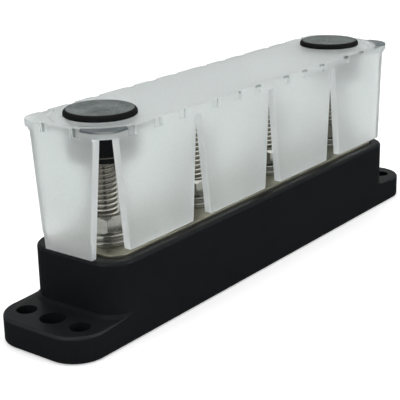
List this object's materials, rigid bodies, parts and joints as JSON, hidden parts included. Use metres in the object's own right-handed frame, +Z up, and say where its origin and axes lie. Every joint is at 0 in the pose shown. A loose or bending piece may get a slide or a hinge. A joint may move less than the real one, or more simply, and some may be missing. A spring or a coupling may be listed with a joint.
{
  "type": "bus bar",
  "caption": "Power bus bar: flat plated bar with a row of threaded studs in a black screw-down base, under a frosted slotted cover held down by round knobs.",
  "frame": {"origin": "centre of the mounting face, at the underside of the base", "axes": "+X along the bar, +Y across it, +Z up away from the mounting face"},
  "size_m": [0.2018, 0.037, 0.0683],
  "materials": {
    "base_plastic": "satin moulded",
    "plated_bar": "tin plated",
    "steel": "plain stainless",
    "cover_plastic": "frosted translucent",
    "knob_plastic": "matte moulded"
  },
  "bodies": {
    "bar": {"base": "base_plastic", "bus_plate": "plated_bar", "stud_1": "steel", "stud_2": "steel", "stud_3": "steel", "stud_4": "steel", "flat_washer_1": "steel", "flat_washer_2": "steel", "flat_washer_3": "steel", "flat_washer_4": "steel", "spring_washer_1": "steel", "spring_washer_2": "steel", "spring_washer_3": "steel", "spring_washer_4": "steel"},
    "nut_1": {"hex_nut_1": "steel"},
    "nut_2": {"hex_nut_2": "steel"},
    "nut_3": {"hex_nut_3": "steel"},
    "nut_4": {"hex_nut_4": "steel"},
    "cover": {"cover": "cover_plastic"},
    "knob_1": {"cover_knob_1": "knob_plastic"},
    "knob_2": {"cover_knob_2": "knob_plastic"}
  },
  "joints": [
    {"name": "nut_1_unscrew", "type": "slide", "parent": "bar", "child": "nut_1", "axis": [0, 0, 1], "range_m": [0, 0.0165]},
    {"name": "nut_2_unscrew", "type": "slide", "parent": "bar", "child": "nut_2", "axis": [0, 0, 1], "range_m": [0, 0.0165]},
    {"name": "nut_3_unscrew", "type": "slide", "parent": "bar", "child": "nut_3", "axis": [0, 0, 1], "range_m": [0, 0.0165]},
    {"name": "nut_4_unscrew", "type": "slide", "parent": "bar", "child": "nut_4", "axis": [0, 0, 1], "range_m": [0, 0.0165]},
    {"name": "cover_lift", "type": "slide", "parent": "bar", "child": "cover", "axis": [0, 0, 1], "range_m": [0, 0.04]},
    {"name": "knob_1_unscrew", "type": "slide", "parent": "cover", "child": "knob_1", "axis": [0, 0, 1], "range_m": [0, 0.016]},
    {"name": "knob_2_unscrew", "type": "slide", "parent": "cover", "child": "knob_2", "axis": [0, 0, 1], "range_m": [0, 0.016]}
  ]
}
